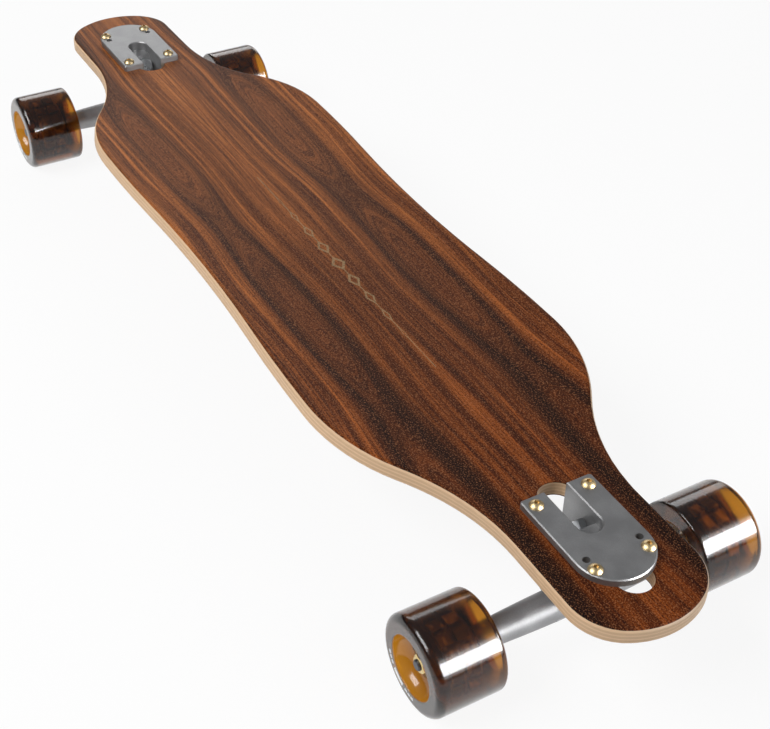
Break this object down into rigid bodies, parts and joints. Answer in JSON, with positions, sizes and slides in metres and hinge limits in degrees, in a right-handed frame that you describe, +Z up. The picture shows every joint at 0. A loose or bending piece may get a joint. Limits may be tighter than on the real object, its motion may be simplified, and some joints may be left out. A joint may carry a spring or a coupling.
{
  "type": "longboard skateboard",
  "caption": "Drop-through longboard with a concave wood deck, cut-away necks, sprung reverse-kingpin trucks and amber wheels on ball bearings.",
  "frame": {"origin": "on the ground, below the middle of the deck", "axes": "+X to the front of the board, +Y to its left, +Z up"},
  "size_m": [0.938, 0.26, 0.1042],
  "materials": {
    "walnut_veneer": "satin",
    "maple_core": "satin",
    "base_plate_casting": "satin",
    "hanger_casting": "satin",
    "pivot_cup_urethane": "matte",
    "bushing_urethane": "satin",
    "zinc_steel": "satin",
    "axle_steel": "satin",
    "polished_brass": "polished",
    "amber_urethane": "gloss",
    "amber_core": "gloss",
    "bearing_steel": "polished",
    "bearing_shield": "satin",
    "cage_nylon": "satin"
  },
  "bodies": {
    "deck": {"deck_top_veneer": "walnut_veneer", "deck_core": "maple_core", "deck_bottom_veneer": "walnut_veneer", "front_baseplate": "base_plate_casting", "front_pivot_cup": "pivot_cup_urethane", "front_kingpin": "zinc_steel", "front_kingpin_nut": "zinc_steel", "front_boardside_bushing": "bushing_urethane", "front_roadside_bushing": "bushing_urethane", "front_boardside_washer": "zinc_steel", "front_roadside_washer": "zinc_steel", "front_mounting_bolts": "polished_brass", "front_mounting_nuts": "zinc_steel", "rear_baseplate": "base_plate_casting", "rear_pivot_cup": "pivot_cup_urethane", "rear_kingpin": "zinc_steel", "rear_kingpin_nut": "zinc_steel", "rear_boardside_bushing": "bushing_urethane", "rear_roadside_bushing": "bushing_urethane", "rear_boardside_washer": "zinc_steel", "rear_roadside_washer": "zinc_steel", "rear_mounting_bolts": "polished_brass", "rear_mounting_nuts": "zinc_steel"},
    "front_truck": {"front_hanger": "hanger_casting", "front_axle": "axle_steel", "front_axle_nuts": "zinc_steel", "front_speed_washers": "zinc_steel", "front_bearing_inner_races": "bearing_steel", "front_bearing_spacers": "zinc_steel"},
    "front_left_wheel": {"front_left_tyre": "amber_urethane", "front_left_core": "amber_core", "front_left_bearing_outer_races": "bearing_steel", "front_left_bearing_shields": "bearing_shield"},
    "front_left_balls": {"front_left_bearing_balls": "bearing_steel", "front_left_bearing_cages": "cage_nylon"},
    "front_right_wheel": {"front_right_tyre": "amber_urethane", "front_right_core": "amber_core", "front_right_bearing_outer_races": "bearing_steel", "front_right_bearing_shields": "bearing_shield"},
    "front_right_balls": {"front_right_bearing_balls": "bearing_steel", "front_right_bearing_cages": "cage_nylon"},
    "rear_truck": {"rear_hanger": "hanger_casting", "rear_axle": "axle_steel", "rear_axle_nuts": "zinc_steel", "rear_speed_washers": "zinc_steel", "rear_bearing_inner_races": "bearing_steel", "rear_bearing_spacers": "zinc_steel"},
    "rear_left_wheel": {"rear_left_tyre": "amber_urethane", "rear_left_core": "amber_core", "rear_left_bearing_outer_races": "bearing_steel", "rear_left_bearing_shields": "bearing_shield"},
    "rear_left_balls": {"rear_left_bearing_balls": "bearing_steel", "rear_left_bearing_cages": "cage_nylon"},
    "rear_right_wheel": {"rear_right_tyre": "amber_urethane", "rear_right_core": "amber_core", "rear_right_bearing_outer_races": "bearing_steel", "rear_right_bearing_shields": "bearing_shield"},
    "rear_right_balls": {"rear_right_bearing_balls": "bearing_steel", "rear_right_bearing_cages": "cage_nylon"}
  },
  "joints": [
    {"name": "front_steer", "type": "hinge", "parent": "deck", "child": "front_truck", "pos_m": [0.39073, 0, 0.06505], "axis": [0.6428, 0, 0.766], "range_deg": [-20, 20], "stiffness_Nm_per_rad": 60, "deforming": ["front_boardside_bushing", "front_roadside_bushing"]},
    {"name": "front_left_wheel_spin", "type": "hinge", "parent": "front_truck", "child": "front_left_wheel", "pos_m": [0.3816, 0.1045, 0.0355], "axis": [0, 1, 0], "continuous": true},
    {"name": "front_left_balls_orbit", "type": "hinge", "parent": "front_truck", "child": "front_left_balls", "pos_m": [0.3816, 0.1045, 0.0355], "axis": [0, 1, 0], "continuous": true},
    {"name": "front_right_wheel_spin", "type": "hinge", "parent": "front_truck", "child": "front_right_wheel", "pos_m": [0.3816, -0.1045, 0.0355], "axis": [0, 1, 0], "continuous": true},
    {"name": "front_right_balls_orbit", "type": "hinge", "parent": "front_truck", "child": "front_right_balls", "pos_m": [0.3816, -0.1045, 0.0355], "axis": [0, 1, 0], "continuous": true},
    {"name": "rear_steer", "type": "hinge", "parent": "deck", "child": "rear_truck", "pos_m": [-0.39073, 0, 0.06505], "axis": [-0.6428, 0, 0.766], "range_deg": [-20, 20], "stiffness_Nm_per_rad": 60, "deforming": ["rear_boardside_bushing", "rear_roadside_bushing"]},
    {"name": "rear_left_wheel_spin", "type": "hinge", "parent": "rear_truck", "child": "rear_left_wheel", "pos_m": [-0.3816, 0.1045, 0.0355], "axis": [0, 1, 0], "continuous": true},
    {"name": "rear_left_balls_orbit", "type": "hinge", "parent": "rear_truck", "child": "rear_left_balls", "pos_m": [-0.3816, 0.1045, 0.0355], "axis": [0, 1, 0], "continuous": true},
    {"name": "rear_right_wheel_spin", "type": "hinge", "parent": "rear_truck", "child": "rear_right_wheel", "pos_m": [-0.3816, -0.1045, 0.0355], "axis": [0, 1, 0], "continuous": true},
    {"name": "rear_right_balls_orbit", "type": "hinge", "parent": "rear_truck", "child": "rear_right_balls", "pos_m": [-0.3816, -0.1045, 0.0355], "axis": [0, 1, 0], "continuous": true}
  ],
  "couplings": [
    {"joint": "front_left_balls_orbit", "follows": "front_left_wheel_spin", "ratio": 0.6323},
    {"joint": "front_right_balls_orbit", "follows": "front_right_wheel_spin", "ratio": 0.6323},
    {"joint": "rear_left_balls_orbit", "follows": "rear_left_wheel_spin", "ratio": 0.6323},
    {"joint": "rear_right_balls_orbit", "follows": "rear_right_wheel_spin", "ratio": 0.6323}
  ]
}
